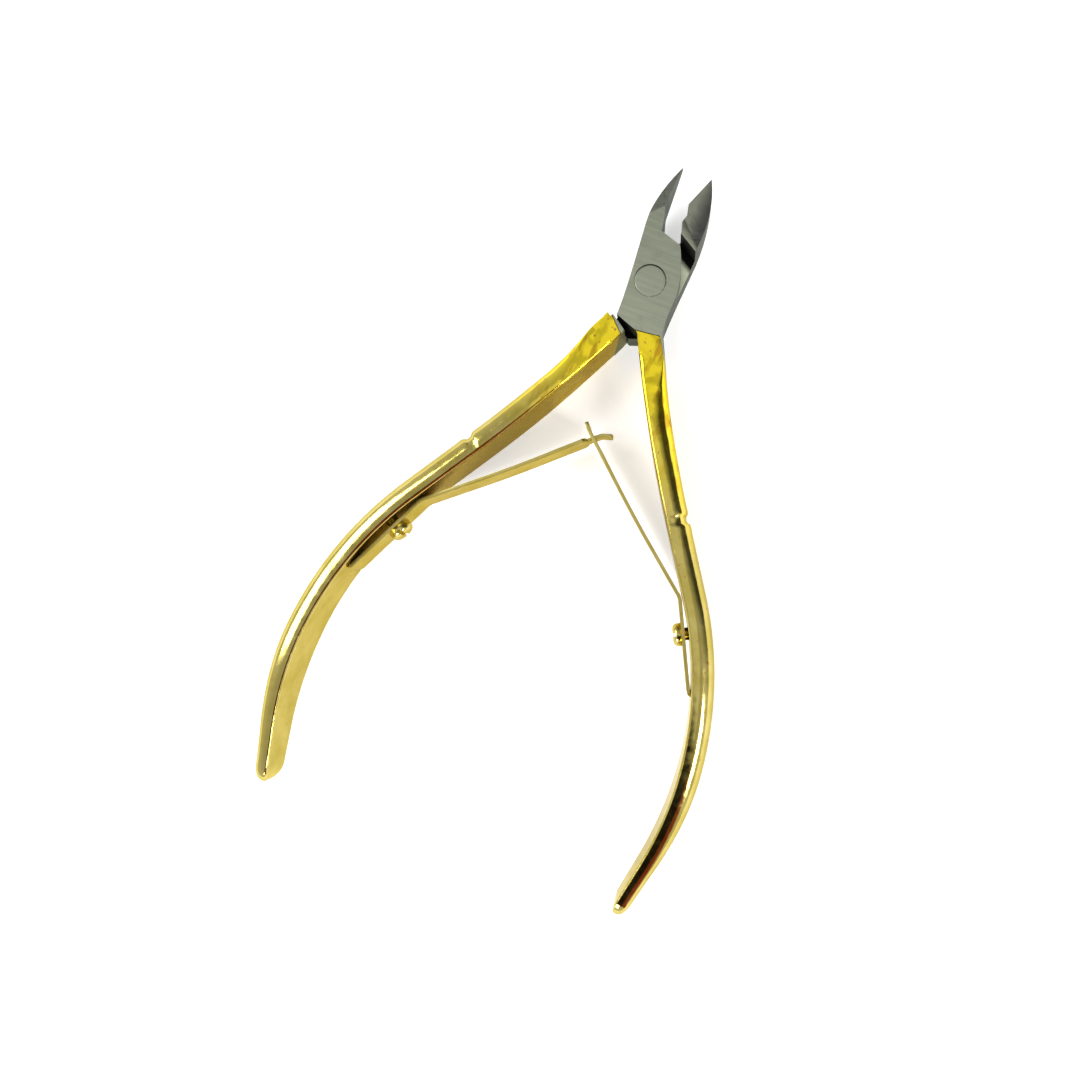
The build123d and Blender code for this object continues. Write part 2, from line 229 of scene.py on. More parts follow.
def cut_groove(d, u, v, shift, depth, half):
    """Finger groove: the rings sink by exp(-|s|^3.2), where s is the distance from its middle in half widths,
    and swell a little on each side of it. It fades out towards the flat inner face."""
    s = np.abs((d - GROOVE_AT) / GROOVE_HALF_WIDTH)
    dip = GROOVE_DEPTH * np.exp(-s ** 3.2) - GROOVE_SWELL * np.exp(-((s - 1.9) / 0.7) ** 2)
    reach = np.clip((u - col(shift) - 0.25) / 0.6, 0, 1)
    reach = reach * reach * (3 - 2 * reach) * col(dip)
    sideways = np.clip(np.abs(v) / col(np.maximum(half, 0.1)) * 1.6, 0, 1)
    inwards = np.clip(u / col(np.maximum(shift + depth, 0.1)) * 1.4 - 0.4, 0, 1)
    return u - reach * inwards, v - 0.25 * np.sign(v) * reach * sideways


def handle(side, name):
    """Handle from the neck to its rounded end: the D section's rings set square to the spine at each station,
    the last one drawn together into a point and the first one closed by a flat face."""
    d = handle_stations()
    u, v, shift, depth, half = handle_rings(d)
    u, v = cut_groove(d, u, v, shift, depth, half)
    x, y, heading = spine(d)
    own = np.stack([col(x) + u * col(np.cos(heading)), col(y) + u * col(np.sin(heading)), v], -1)
    own[-1] = own[-1].mean(0)
    rows, columns = u.shape
    faces = grid_faces(rows, columns, closed=True)
    faces.append(list(range(columns)))
    obj = put_in_mesh(name, sit(own, side), faces)
    clean(obj)
    obj.data.set_sharp_from_angle(angle=radians(60))
    return obj


def clean(obj, apart=DOUBLED):
    """Merges doubled points and turns every face outwards."""
    b = bmesh.new()
    b.from_mesh(obj.data)
    bmesh.ops.remove_doubles(b, verts=b.verts, dist=apart)
    bmesh.ops.recalc_face_normals(b, faces=b.faces)
    b.to_mesh(obj.data)
    b.free()
    obj.data.update()


def merged_copy(node_name, name, cut=None):
    """Copy of a CAD node: its loose triangles merged, slivers closed up, points that are a hair off the front
    or back level put on it, and its flat faces joined up. A cut, a place and a direction, takes off what is
    beyond that plane."""
    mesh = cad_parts[node_name].data.copy()
    mesh.name = name
    mesh.materials.clear()
    obj = bpy.data.objects.new(name, mesh)
    bpy.context.scene.collection.objects.link(obj)
    b = bmesh.new()
    b.from_mesh(mesh)
    bmesh.ops.remove_doubles(b, verts=b.verts, dist=DOUBLED)
    bmesh.ops.dissolve_degenerate(b, dist=SLIVER, edges=b.edges)
    for vert in b.verts:
        for level in (0.0, THICKNESS * MM):
            if abs(vert.co.z - level) < OFF_LEVEL:
                vert.co.z = level
    if cut is not None:
        place, along = cut
        bmesh.ops.bisect_plane(b, geom=b.verts[:] + b.edges[:] + b.faces[:], dist=1e-7,
                               plane_co=place, plane_no=along, clear_outer=True)
    bmesh.ops.dissolve_limit(b, angle_limit=radians(0.6), verts=b.verts, edges=b.edges)
    b.to_mesh(mesh)
    b.free()
    mesh.polygons.foreach_set("use_smooth", np.full(len(mesh.polygons), True))
    mesh.update()
    return obj


def soften(obj, width, angle=32, segments=2):
    """Rounds the edges sharper than an angle by a width in millimetres, and keeps the flat faces flat."""
    bevel = obj.modifiers.new("edge", "BEVEL")
    bevel.width = width * MM
    bevel.segments = segments
    bevel.limit_method = "ANGLE"
    bevel.angle_limit = radians(angle)
    bevel.use_clamp_overlap = True
    flats = obj.modifiers.new("flats", "WEIGHTED_NORMAL")
    flats.weight = 60
    flats.keep_sharp = False
    return obj


def unsit(points, side):
    """Points at rest brought back into a half's own closed frame, in millimetres: the reverse of sit."""
    p = np.array(points, float) / MM
    a = radians(-side * HALF_OPENING)
    x = p[..., 0] * cos(a) - p[..., 1] * sin(a)
    y = p[..., 0] * sin(a) + p[..., 1] * cos(a)
    z = p[..., 2] - HALF_THICKNESS
    return np.stack([x, y, z], -1) if side > 0 else np.stack([-x, y, -z], -1)


def part_faces(obj, side, walls, sides, floor, jaw, inner):
    """Gives some of the head's faces their own metals, which carry painted light and shade: the walls of the
    lap's recess, which lie wholly on the recess's side of the middle, get a near-black painted shadow, the
    forging's outer sides a darker shaded copy, the recess's floor painted light and shade, the jaw's ground
    facets painted light and shade and the neck's inner face a duller shaded gold. The level faces are shaded
    flat."""
    for metal in (walls, sides, floor, jaw, inner):
        obj.data.materials.append(metal)
    walls_at, sides_at, floor_at, jaw_at, inner_at = range(1, 6)
    for face in obj.data.polygons:
        own = unsit(np.array([obj.data.vertices[i].co for i in face.vertices]), side)
        along = own[:, 1].mean()
        upright = abs(face.normal.z) < 0.3
        level = abs(face.normal.z) > 0.985
        face.use_smooth = not level
        if upright:
            recess = own[:, 2].max() < 0.06 and -10 < along < 9.6
            face.material_index = walls_at if recess else sides_at
            if along < -8.3 and face.normal.x * side < -0.3:
                face.material_index = inner_at
        elif level and abs(own[:, 2].mean()) < 0.2:
            face.material_index = floor_at
        elif not level and along > 7.5:
            face.material_index = jaw_at


def inner_faces(obj, side, metal):
    """Gives the handle's flat inner face its own duller metal, with painted shade."""
    obj.data.materials.append(metal)
    for face in obj.data.polygons:
        if abs(face.normal.z) < 0.1 and face.normal.x * side < -0.5:
            face.material_index = 1


def head(side, node_name, name):
    """Plate, jaw and neck of one half: the CAD forging, merged, down to where the handle piece takes over."""
    x, y, heading = spine([HANDLE_JOIN])
    place = sit([[x[0], y[0], 0]], side)[0]
    ahead = sit([[x[0] + sin(heading[0]), y[0] - cos(heading[0]), 0]], side)[0]
    along = Vector(ahead - place).normalized()
    return soften(merged_copy(node_name, name, cut=(Vector(place), along)), 0.07)


def rounded(corners, radii):
    """Path through corner points, and the distance run at each of its points. A corner with a radius becomes
    a quadratic curve between the two points where a circle of that radius would touch its sides."""
    path = [corners[:1]]
    for i in range(1, len(corners) - 1):
        before, after = corners[i - 1] - corners[i], corners[i + 1] - corners[i]
        before, after = before / np.linalg.norm(before), after / np.linalg.norm(after)
        angle = np.arccos(np.clip(before @ after, -1, 1))
        back = radii[i] / np.tan(angle / 2)
        start, end = corners[i] + before * back, corners[i] + after * back
        t = np.linspace(0, 1, 12)[:, None]
        curve = (1 - t) ** 2 * start + 2 * (1 - t) * t * corners[i] + t * t * end
        path.append(curve if radii[i] else corners[i:i + 1])
    path = np.concatenate(path + [corners[-1:]])
    run = np.concatenate([[0], np.cumsum(np.linalg.norm(np.diff(path, axis=0), axis=1))])
    keep = np.concatenate([[True], np.diff(run) > 1e-6])
    return path[keep], run[keep]


def spring_path(windowed):
    """Side view of a spring's middle plane: down-turned lip, clamped tail, fold, flexing leaf with a slight
    sag, crossing and bent end, as corner points and their radii. Also gives the crossing, the fold and the
    directions of the tail and of the leaf."""
    x, y, _ = spine([ROOT_AT, ROOT_AT + CLAMP_LENGTH])
    root, tail_end = np.array([x[0], y[0]]), np.array([x[1], y[1]])
    tail = (tail_end - root) / np.linalg.norm(tail_end - root)
    off = np.array([tail[1], -tail[0]])  # off the flat inner face
    middle = LEAF_THICKNESS / 2
    fold = root + off * (middle + FOLD_RISE)
    a = radians(HALF_OPENING)
    crossing = np.array([-CROSS_BELOW * sin(a), -CROSS_BELOW * cos(a)])
    leaf_reach = np.linalg.norm(crossing - fold)
    leaf = (crossing - fold) / leaf_reach
    lip = root + tail * (CLAMP_LENGTH - middle)
    sag = fold + leaf * leaf_reach / 2 + np.array([-leaf[1], leaf[0]]) * LEAF_SAG
    turn, before_bend, after_bend = (radians(-14.0), 1.25, 1.15) if windowed else (radians(24.0), 1.3, 1.6)
    bend = np.array([leaf[0] * cos(turn) - leaf[1] * sin(turn), leaf[0] * sin(turn) + leaf[1] * cos(turn)])
    corners = [lip - off * LIP_DROP, lip + off * middle, root + tail * 0.9 + off * middle, sag, crossing,
               crossing + leaf * before_bend, crossing + leaf * before_bend + bend * after_bend]
    radii = [0, 0.55, 2.6, 220.0, 0, 1.2, 0]
    return np.array(corners), radii, crossing, fold, tail, leaf


def rounded_corner(s, end, length, drop):
    """How far a strip's edge draws in over the last length before its end: a quarter of an ellipse."""
    t = np.clip((s - (end - length)) / length, 0, 1)
    return drop * (1 - np.sqrt(1 - t * t * 0.98))


def spring_mesh(side, name, windowed):
    """One strip on a grid, s along its path and v across it. The windowed one has the grid's faces left out
    where the other passes through, and the other narrows to a tongue between quarter-ellipse shoulders."""
    corners, radii, crossing, fold, tail, leaf = spring_path(windowed)
    path, run = rounded(corners, radii)
    end = run[-1]
    fine = np.linspace(0, end, 4001)
    at = np.stack([np.interp(fine, run, path[:, 0]), np.interp(fine, run, path[:, 1])], -1)
    cross = fine[np.argmin(np.linalg.norm(at - crossing, axis=1))]
    wide = LEAF_WIDTH / 2
    if windowed:
        marks = [cross - WINDOW_HALF, cross + WINDOW_HALF]
        v = np.array([-1, -0.92, -WINDOW_HALF / wide, -0.3, 0.3, WINDOW_HALF / wide, 0.92, 1])
    else:
        marks = [cross - SHOULDER - SHOULDER, cross - SHOULDER]
        v = np.array([-1, -0.9, -0.5, 0, 0.5, 0.9, 1])
    stations = [np.arange(0, end, 0.35), run, marks, [end], np.linspace(marks[0], marks[1], 9)]
    s = np.unique(np.round(np.concatenate(stations), 4))
    s = s[np.concatenate([[True], np.diff(s) > 0.012])]
    if windowed:
        half = wide - rounded_corner(s, end, 0.5, 0.5)
    else:
        t = np.clip((s - marks[0]) / (marks[1] - marks[0]), 0, 1)
        half = TONGUE_HALF_WIDTH + (wide - TONGUE_HALF_WIDTH) * np.sqrt(np.maximum(0, 1 - t * t))
        half = half - rounded_corner(s, end, 0.5, 0.45)
    half = half - LIP_NARROWING * (1 - eased(s, [(0, 0.0), (1.2, 1.0)]))
    x, y = np.interp(s, run, path[:, 0]), np.interp(s, run, path[:, 1])
    own = np.stack([col(x) + 0 * v, col(y) + 0 * v, col(half) * v], -1)
    quads = np.array(grid_faces(len(s), len(v), closed=False))
    if windowed:
        centre = own.reshape(-1, 3)[quads].mean(1)
        station = s[quads // len(v)].mean(1)
        hole = (np.abs(station - cross) < WINDOW_HALF) & (np.abs(centre[:, 2]) < WINDOW_HALF)
        quads = quads[~hole]
    obj = put_in_mesh(name, sit(own, side), quads.tolist(), smooth=True)
    clean(obj, 1e-6)
    bend_start = sit([[*(fold + tail * 1.2), 0.0]], side)[0]
    bend_end = sit([[*(fold + leaf * 9.0), 0.0]], side)[0]
    return obj, bend_start, bend_end


def spring(side, name, windowed):
    """Leaf spring in one strip of even thickness with rounded rims, and the stretch over which it flexes."""
    obj, bend_start, bend_end = spring_mesh(side, name, windowed)
    wall = obj.modifiers.new("thickness", "SOLIDIFY")
    wall.thickness = LEAF_THICKNESS * MM
    wall.offset = 0.0
    wall.use_even_offset = True
    rim = obj.modifiers.new("rim", "BEVEL")
    rim.width = SHEET_RIM * MM
    rim.segments = 2
    rim.limit_method = "ANGLE"
    rim.angle_limit = radians(50)
    flats = obj.modifiers.new("flats", "WEIGHTED_NORMAL")
    flats.keep_sharp = False
    return obj, bend_start, bend_end


def lathe(name, radii, heights, turns=96):
    """Round piece about the rivet axis: the profile (radius, height) turned through a full circle."""
    a = np.linspace(0, 2 * pi, turns, endpoint=False)
    r, z = np.array(radii, float)[:, None], np.array(heights, float)[:, None]
    points = np.stack([r * np.cos(a), r * np.sin(a), z + 0 * a], -1) * MM
    obj = put_in_mesh(name, points, grid_faces(len(radii), turns, closed=True))
    clean(obj)
    return obj


def rivet_profile():
    """Flush head with a softly rounded rim, a shank, and a foot ground flush with the back."""
    rim = np.linspace(0, pi / 2, 7)
    neck = THICKNESS - RIVET_HEAD_DEPTH
    r = [0, 0.6, 1.2, 1.8] + list(RIVET_HEAD - 0.1 + 0.1 * np.sin(rim))
    z = [THICKNESS] * 4 + list(THICKNESS - 0.1 + 0.1 * np.cos(rim))
    r += [RIVET_HEAD, RIVET_SHANK, RIVET_SHANK, RIVET_FOOT]
    z += [neck, neck, RIVET_FOOT_DEPTH, RIVET_FOOT_DEPTH]
    r += list(RIVET_FOOT - 0.03 + 0.03 * np.cos(rim)) + [1.5, 0.7, 0]
    z += list(0.03 - 0.03 * np.sin(rim)) + [0, 0, 0]
    return r, z


# ---------------------------------------------------------------- materials

# Colours of the metals, as red, green and blue shares of the light that they send back.
STEEL_TINTS = ((0.46, 0.49, 0.37), (0.39, 0.415, 0.315), (0.30, 0.33, 0.25))
GOLD_TINTS = ((0.50, 0.41, 0.10), (0.60, 0.50, 0.16))
# Yellow of the neck's gold: partly the plating's own tone, partly a painted highlight.
NECK_GOLD_AND_HIGHLIGHT = (0.92, 0.72, 0.03)
NECK_STREAK = (0.48, 0.27, 0.02)
GOLD_PIT = (0.50, 0.27, 0.07)
# Painted shade: duller, darker gold on the handle's inner face towards the neck.
INNER_PAINTED_SHADE_GOLD = (0.30, 0.19, 0.04)
JOINT_LINE_DARK = (0.035, 0.04, 0.03)
# Painted shadow: black on the lap's floor near its walls.
LAP_PAINTED_SHADOW = (0.008, 0.008, 0.007)
# Painted shade: a dimmer glancing tint for the forging's sides.
SIDE_PAINTED_GLANCE = (0.42, 0.43, 0.43, 1)
# Painted shade: the factor that paints the forging's sides and inner faces darker than its ground front.
SIDE_PAINTED_SHADE = 0.4  # how bright the forging's sides and inner faces are beside its ground front
# Painted highlight: how much brighter the lap's floor steel is painted.
FLOOR_PAINTED_SHEEN = 1.85
DARK_PATCH_ROUGHNESS = 0.7
STEEL_RELIEF = 0.010  # heights of the bump patterns, in millimetres
PLATED_RELIEF = 0.05
SPRING_RELIEF = 0.03
WALL_RELIEF = 0.02

# Where the plating starts on each half: the slant of its edge in X, Y and Z, and its Y at the front level.
PLATING_SLANT = {1: (0.0, 1.0, -0.5), -1: (0.75, 1.0, -0.35)}
PLATING_Y = {1: -7.45, -1: -8.9}


def new_material(name):
    """New material with its nodes, its links and its shader."""
    m = bpy.data.materials.new(name)
    m.use_nodes = True
    return m, m.node_tree.nodes, m.node_tree.links, m.node_tree.nodes["Principled BSDF"]


def new_metal(name, metallic=1.0):
    """New material set to metal, and the piece's own coordinates that its patterns are laid on."""
    m, nodes, links, bsdf = new_material(name)
    bsdf.inputs["Metallic"].default_value = metallic
    return m, nodes, links, bsdf, node(nodes, "ShaderNodeTexCoord").outputs["Object"]


def node(nodes, kind, **values):
    """New node with its settings."""
    n = nodes.new(kind)
    for key, value in values.items():
        setattr(n, key, value)
    return n


def feed(links, socket, value):
    """Sets a number or a colour on a socket, or links another node's output to it."""
    if isinstance(value, (int, float)):
        socket.default_value = value
    elif isinstance(value, tuple):
        socket.default_value = (*value, 1.0)
    else:
        links.new(value, socket)


def work_out(nodes, links, operation, a, b):
    """Sum, difference or product of two values."""
    n = node(nodes, "ShaderNodeMath", operation=operation)
    feed(links, n.inputs[0], a)
    feed(links, n.inputs[1], b)
    return n.outputs[0]


def noise(nodes, links, vector, scale, detail=3.0, rough=0.55, stretch=None, turn=0.0):
    """Noise on the piece's own coordinates. With a stretch they are first scaled and then turned about Z,
    which draws the noise out into lines."""
    if stretch is not None:
        mapping = node(nodes, "ShaderNodeMapping", vector_type="POINT")
        mapping.inputs["Rotation"].default_value = (0, 0, turn)
        mapping.inputs["Scale"].default_value = stretch
        links.new(vector, mapping.inputs["Vector"])
        vector = mapping.outputs[0]
    n = node(nodes, "ShaderNodeTexNoise")
    n.inputs["Scale"].default_value = scale
    n.inputs["Detail"].default_value = detail
    n.inputs["Roughness"].default_value = rough
    links.new(vector, n.inputs["Vector"])
    return n.outputs["Fac"]


def ramp(nodes, links, value, low, high, out_low=0.0, out_high=1.0):
    """Value carried evenly from one range to another, and held at its ends."""
    n = node(nodes, "ShaderNodeMapRange", clamp=True)
    links.new(value, n.inputs["Value"])
    for key, number in zip(("From Min", "From Max", "To Min", "To Max"), (low, high, out_low, out_high)):
        n.inputs[key].default_value = number
    return n.outputs["Result"]


def mix(nodes, links, kind, sockets, factor, a, b):
    """Mix of a and b by a factor, on the mix node's sockets for that kind of value."""
    n = node(nodes, "ShaderNodeMix", data_type=kind)
    for socket, value in zip((0, *sockets), (factor, a, b)):
        feed(links, n.inputs[socket], value)
    return n.outputs[2 if kind == "RGBA" else 0]


def mix_colour(nodes, links, factor, a, b):
    """Colour a where the factor is 0 and b where it is 1."""
    return mix(nodes, links, "RGBA", (6, 7), factor, a, b)


def mix_number(nodes, links, factor, a, b):
    """Number a where the factor is 0 and b where it is 1."""
    return mix(nodes, links, "FLOAT", (2, 3), factor, a, b)


def gold_look(nodes, links, place, neck=None):
    """Colour, roughness and height of bright gold plating over a hand-polished forging. At the neck, where
    the factor neck nears 1, it is yellower, partly the plating's own tone and partly a painted highlight, and
    streaked and more mottled."""
    broad = noise(nodes, links, place, 260.0, 2.0)
    patch = noise(nodes, links, place, 900.0, 4.0)
    tint = mix_colour(nodes, links, ramp(nodes, links, broad, 0.35, 0.65), *GOLD_TINTS)
    if neck is not None:
        # Partly a painted highlight: the neck's gold painted a brighter yellow.
        tint = mix_colour(nodes, links, neck, tint, NECK_GOLD_AND_HIGHLIGHT)
        streak = noise(nodes, links, place, 900.0, 2.0, 0.5, stretch=(1.0, 0.22, 1.0), turn=radians(-14))
        streak = work_out(nodes, links, "MULTIPLY", ramp(nodes, links, streak, 0.52, 0.64, 0.0, 0.8), neck)
        tint = mix_colour(nodes, links, streak, tint, NECK_STREAK)
    pits = ramp(nodes, links, noise(nodes, links, place, 1500.0, 2.0, 0.4), 0.70, 0.76)
    tint = mix_colour(nodes, links, pits, tint, GOLD_PIT)
    rough = ramp(nodes, links, patch, 0.3, 0.75, 0.07, 0.20)
    scratch = noise(nodes, links, place, 1400.0, 3.0, 0.6, stretch=(6.0, 0.35, 6.0), turn=radians(-4))
    height = work_out(nodes, links, "ADD", broad, work_out(nodes, links, "MULTIPLY", scratch, 0.035))
    if neck is not None:
        mottle = work_out(nodes, links, "MULTIPLY", noise(nodes, links, place, 480.0, 0.5, 0.5), neck)
        height = work_out(nodes, links, "ADD", height, work_out(nodes, links, "MULTIPLY", mottle, 2.8))
    return tint, rough, height


def steel_look(nodes, links, place, turn, painted_brightness=1.0):
    """Colour, roughness and height of satin steel, brushed in fine lines across the head."""
    # The brightness factor scales the tints: below 1 it paints shade, above 1 it paints a highlight.
    bright, plain, dull = (tuple(painted_brightness * c for c in tint) for tint in STEEL_TINTS)
    lines = noise(nodes, links, place, 1370.0, 2.0, 0.5, stretch=(0.10, 4.5, 4.5), turn=turn)
    wide = noise(nodes, links, place, 320.0, 3.0, 0.5, stretch=(0.5, 2.2, 2.2), turn=turn)
    tint = mix_colour(nodes, links, ramp(nodes, links, lines, 0.3, 0.7), plain, bright)
    stain = ramp(nodes, links, noise(nodes, links, place, 450.0, 3.0), 0.55, 0.75, 0.0, 0.5)
    tint = mix_colour(nodes, links, stain, tint, dull)
    rough = work_out(nodes, links, "ADD", ramp(nodes, links, lines, 0.25, 0.75, 0.26, 0.42),
                     ramp(nodes, links, wide, 0.3, 0.7, -0.04, 0.05))
    height = work_out(nodes, links, "ADD", work_out(nodes, links, "MULTIPLY", lines, 0.1),
                      work_out(nodes, links, "MULTIPLY", wide, 0.10))
    return tint, rough, height


def joint_line(nodes, links, place):
    """How dark the joint line is at each point: a thin ring round the rivet head, by the distance from the
    rivet's axis, fullest on its upper left, by the direction from that axis."""
    flat = node(nodes, "ShaderNodeVectorMath", operation="MULTIPLY")
    flat.inputs[1].default_value = (1, 1, 0)
    links.new(place, flat.inputs[0])
    length = node(nodes, "ShaderNodeVectorMath", operation="LENGTH")
    links.new(flat.outputs[0], length.inputs[0])
    way = node(nodes, "ShaderNodeVectorMath", operation="NORMALIZE")
    links.new(flat.outputs[0], way.inputs[0])
    dot = node(nodes, "ShaderNodeVectorMath", operation="DOT_PRODUCT")
    dot.inputs[1].default_value = (-0.25, 0.97, 0)
    links.new(way.outputs[0], dot.inputs[0])
    radius = length.outputs["Value"]
    inner = ramp(nodes, links, radius, (RIVET_HEAD - 0.17) * MM, (RIVET_HEAD - 0.05) * MM)
    outer = ramp(nodes, links, radius, (RIVET_HEAD + 0.15) * MM, (RIVET_HEAD + 0.07) * MM)
    ring = work_out(nodes, links, "MULTIPLY", inner, outer)
    upper_left = ramp(nodes, links, dot.outputs["Value"], 0.1, 0.9, 0.3, 1.0)
    return work_out(nodes, links, "MULTIPLY", ring, upper_left)


def joint_lined(nodes, links, place, tint, rough):
    """Colour and roughness with the rivet's joint line on them."""
    joint_dark = joint_line(nodes, links, place)
    tint = mix_colour(nodes, links, joint_dark, tint, JOINT_LINE_DARK)
    return tint, mix_number(nodes, links, joint_dark, rough, DARK_PATCH_ROUGHNESS)


def bump(nodes, links, height, bsdf):
    """Relief on a shader, its height given in millimetres."""
    n = node(nodes, "ShaderNodeBump")
    n.inputs["Strength"].default_value = 1.0
    n.inputs["Distance"].default_value = MM
    links.new(height, n.inputs["Height"])
    links.new(n.outputs[0], bsdf.inputs["Normal"])


def coat(nodes, links, bsdf, tint, rough, height, relief):
    """Puts a colour, a roughness and a pattern of that relief on a shader."""
    links.new(tint, bsdf.inputs["Base Color"])
    links.new(rough, bsdf.inputs["Roughness"])
    bump(nodes, links, work_out(nodes, links, "MULTIPLY", height, relief), bsdf)


def closed_place(nodes, links, place, side):
    """Each point's place in metres, turned about the rivet to where it is with the nipper closed."""
    turned = node(nodes, "ShaderNodeMapping", vector_type="POINT")
    turned.inputs["Rotation"].default_value = (0, 0, radians(-side * HALF_OPENING))
    links.new(place, turned.inputs["Vector"])
    return turned.outputs[0]


def closed_parts(nodes, links, place, side):
    """The X, Y and Z of each point's place with the nipper closed."""
    split = node(nodes, "ShaderNodeSeparateXYZ")
    links.new(closed_place(nodes, links, place, side), split.inputs[0])
    return split.outputs


def along_direction(nodes, links, place, direction):
    """How far each point lies along a direction."""
    dot = node(nodes, "ShaderNodeVectorMath", operation="DOT_PRODUCT")
    dot.inputs[1].default_value = direction
    links.new(place, dot.inputs[0])
    return dot.outputs["Value"]


def jaw_metal(name, side):
    """Ground facets of a jaw, with painted light and shade: the front one painted an even, darker grey as
    painted shade, and on the rear one a matt band along the cutting edge painted light, that turns to painted
    shade and grows shinier towards the outer side."""
    m, nodes, links, bsdf, place = new_metal(name)
    bsdf.inputs["Specular Tint"].default_value = (0.5, 0.5, 0.5, 1)
    tint, rough, height = steel_look(nodes, links, place, radians(70 - side * HALF_OPENING))
    if side > 0:
        # Painted shade: the front jaw's facets mixed half way to a dark grey.
        tint = mix_colour(nodes, links, 0.5, tint, (0.14, 0.15, 0.15))
    else:
        closed = closed_parts(nodes, links, place, side)
        slanted = work_out(nodes, links, "MULTIPLY", closed["Y"], 0.12)
        across = work_out(nodes, links, "ADD", closed["X"], slanted)
        # Painted light and shade: light along the cutting edge, darker towards the outer side.
        outward = ramp(nodes, links, across, 0.0022, 0.0040)
        tint = mix_colour(nodes, links, outward, (0.52, 0.55, 0.43), (0.36, 0.36, 0.33))
        rough = work_out(nodes, links, "ADD", rough, ramp(nodes, links, across, 0.0022, 0.0040, 0.20, 0.02))
    coat(nodes, links, bsdf, tint, rough, height, STEEL_RELIEF)
    return m


def lap_floor_metal(name, side):
    """Flat floor of the lap's recess, with painted light and shade: its steel painted brighter as a painted
    highlight, and black painted shadow near its walls."""
    m, nodes, links, bsdf, place = new_metal(name)
    tint, rough, height = steel_look(nodes, links, place, radians(-side * HALF_OPENING), FLOOR_PAINTED_SHEEN)
    closed = closed_parts(nodes, links, place, side)
    slanted = work_out(nodes, links, "MULTIPLY", closed["X"], 0.42 * side)
    along = work_out(nodes, links, "SUBTRACT", closed["Y"], slanted)
    # Painted shadow: black bands along the recess's upper and lower walls.
    upper = ramp(nodes, links, along, 0.0062, 0.0070)
    lower = ramp(nodes, links, along, -0.0050, -0.0062)
    painted_shadow = work_out(nodes, links, "ADD", upper, lower)
    tint = mix_colour(nodes, links, painted_shadow, tint, LAP_PAINTED_SHADOW)
    rough = mix_number(nodes, links, painted_shadow, rough, DARK_PATCH_ROUGHNESS)
    coat(nodes, links, bsdf, tint, rough, height, STEEL_RELIEF)
    return m


def plating_line(nodes, links, place, side):
    """How far each point lies past a slanting plane round the neck, with a little wander, and where on that
    measure the plating starts. Along the outer edge of the front neck the bare steel runs further down."""
    closed = closed_place(nodes, links, place, side)
    wander = work_out(nodes, links, "MULTIPLY", noise(nodes, links, place, 1100.0, 3.0), 0.0004)
    line = work_out(nodes, links, "ADD", along_direction(nodes, links, closed, PLATING_SLANT[side]), wander)
    if side > 0:
        turn = radians(NECK_HEADING)
        outward = along_direction(nodes, links, closed, (cos(turn), sin(turn), 0.0))
        beyond = (3.3 - sin(turn) * NECK_TOP) * MM
        strip = ramp(nodes, links, outward, beyond, beyond + 0.3 * MM, 0.0, 4.2 * MM)
        line = work_out(nodes, links, "ADD", line, strip)
    edge = (PLATING_Y[side] + PLATING_SLANT[side][2] * THICKNESS) * MM
    return line, edge


def half_metal(name, side, painted_brightness=1.0, edge_tint=(0.74, 0.68, 0.46, 1), inner=False):
    """Satin steel head and gold plated handle on one forging, either side of the plating line. A brightness
    factor below 1 paints shade on the steel of its sides, and inner paints shade on the handle's inner face
    as a duller, darker gold towards the neck."""
    m, nodes, links, bsdf, place = new_metal(name)
    bsdf.inputs["Specular Tint"].default_value = edge_tint
    line, edge = plating_line(nodes, links, place, side)
    plated = ramp(nodes, links, line, edge + 0.32 * MM, edge + 0.18 * MM)
    neck = ramp(nodes, links, line, edge - 26 * MM, edge - 8 * MM)
    gilt, shine, gold_height = gold_look(nodes, links, place, neck)
    steel, satin, steel_height = steel_look(nodes, links, place, radians(-side * HALF_OPENING), painted_brightness)
    if inner:
        closed = closed_parts(nodes, links, place, side)
        # Painted shade: the inner face's gold turns duller and darker towards the neck.
        dull = ramp(nodes, links, closed["Y"], -62 * MM, -40 * MM, 0.0, 0.85)
        gilt = mix_colour(nodes, links, dull, gilt, INNER_PAINTED_SHADE_GOLD)
        shine = work_out(nodes, links, "ADD", shine, work_out(nodes, links, "MULTIPLY", dull, 0.15))
    tint = mix_colour(nodes, links, plated, steel, gilt)
    rough = mix_number(nodes, links, plated, satin, shine)
    if side > 0:
        tint, rough = joint_lined(nodes, links, place, tint, rough)
    links.new(tint, bsdf.inputs["Base Color"])
    links.new(rough, bsdf.inputs["Roughness"])
    steel_height = work_out(nodes, links, "MULTIPLY", steel_height, STEEL_RELIEF)
    gold_height = work_out(nodes, links, "MULTIPLY", gold_height, PLATED_RELIEF)
    bump(nodes, links, mix_number(nodes, links, plated, steel_height, gold_height), bsdf)
    return m


def gold_metal(name, matt):
    """Gold plating alone, for the springs and their screws. Matt is added to its roughness."""
    m, nodes, links, bsdf, place = new_metal(name)
    bsdf.inputs["Specular Tint"].default_value = (0.72, 0.62, 0.36, 1)
    tint, rough, height = gold_look(nodes, links, place)
    rough = work_out(nodes, links, "ADD", rough, matt)
    coat(nodes, links, bsdf, tint, rough, height, SPRING_RELIEF)
    return m


def rivet_metal(name):
    """Satin steel rivet head, ground flush together with the plate."""
    m, nodes, links, bsdf, place = new_metal(name)
    tint, rough, height = steel_look(nodes, links, place, radians(-12))
    tint, rough = joint_lined(nodes, links, place, tint, rough)
    coat(nodes, links, bsdf, tint, rough, height, STEEL_RELIEF)
    return m


